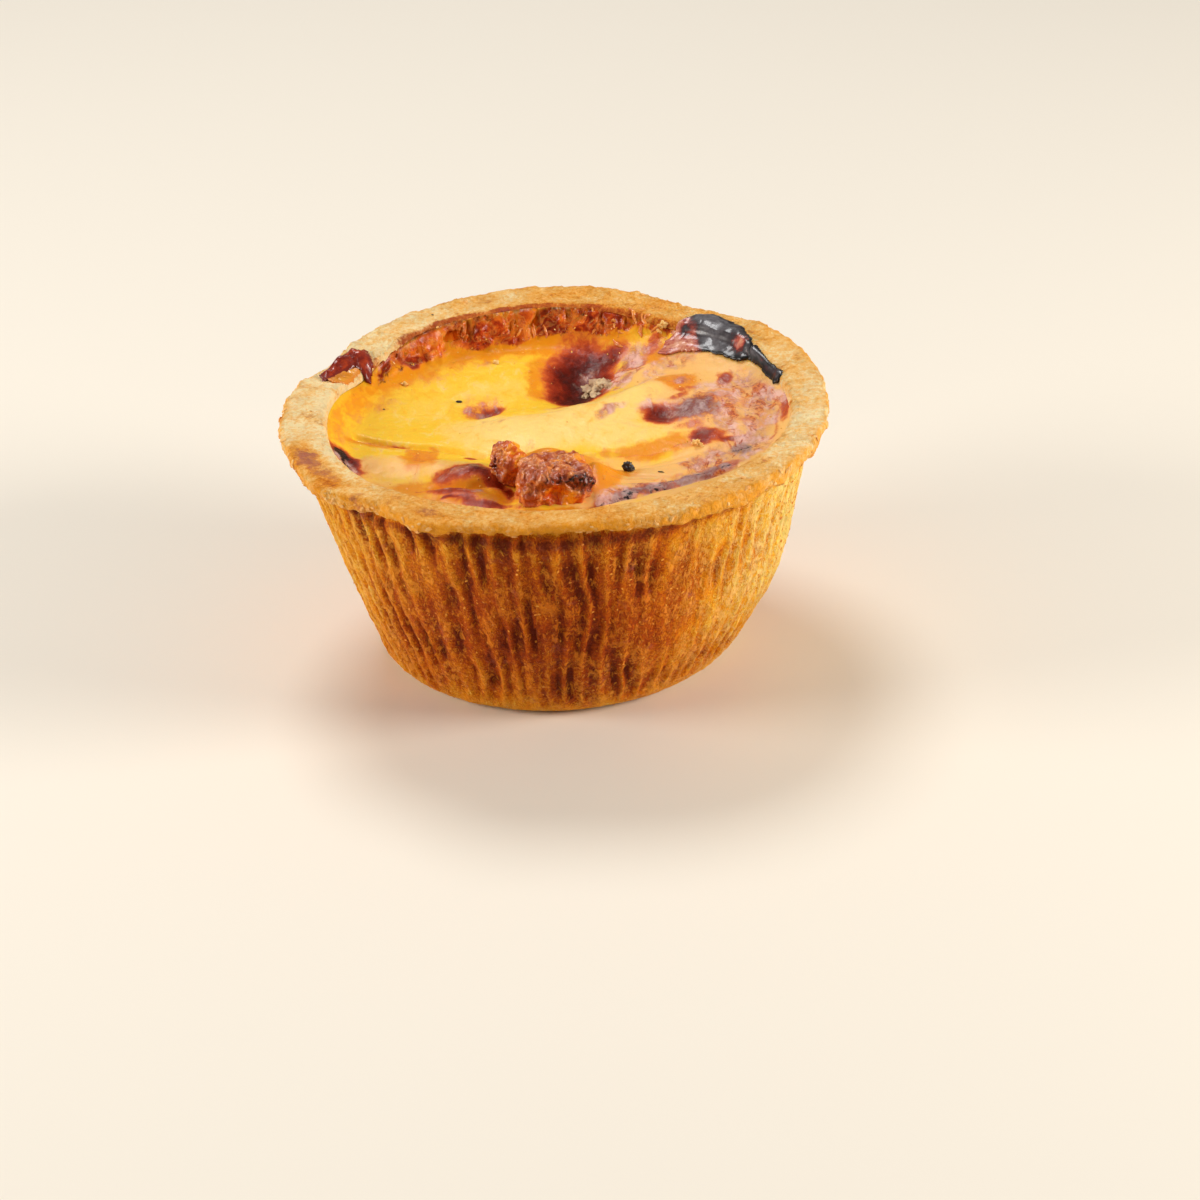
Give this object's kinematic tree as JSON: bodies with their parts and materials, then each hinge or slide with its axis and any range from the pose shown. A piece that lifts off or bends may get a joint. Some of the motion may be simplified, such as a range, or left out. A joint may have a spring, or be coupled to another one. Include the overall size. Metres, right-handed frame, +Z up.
{
  "type": "quiche",
  "caption": "Individual deep quiche: a pleated golden pastry case with a flat uneven rim, filled with sunken, browned custard and toasted bacon.",
  "frame": {"origin": "centre of the flat base, where the quiche rests", "axes": "+Z up, the shortest extent; -Y is the front, with the bacon and the lowest part of the rim; +X is to the right, seen from the front"},
  "size_m": [0.0901, 0.0889, 0.0452],
  "materials": {
    "crust": "dry, flaky, golden-brown baked pastry",
    "custard": "glossy baked egg custard, browned and charred in patches",
    "bacon": "greasy, toasted, dark at its edges"
  },
  "bodies": {
    "root": {"crust": "crust", "custard": "custard", "bacon_large": "bacon", "bacon_small": "bacon"}
  },
  "joints": []
}
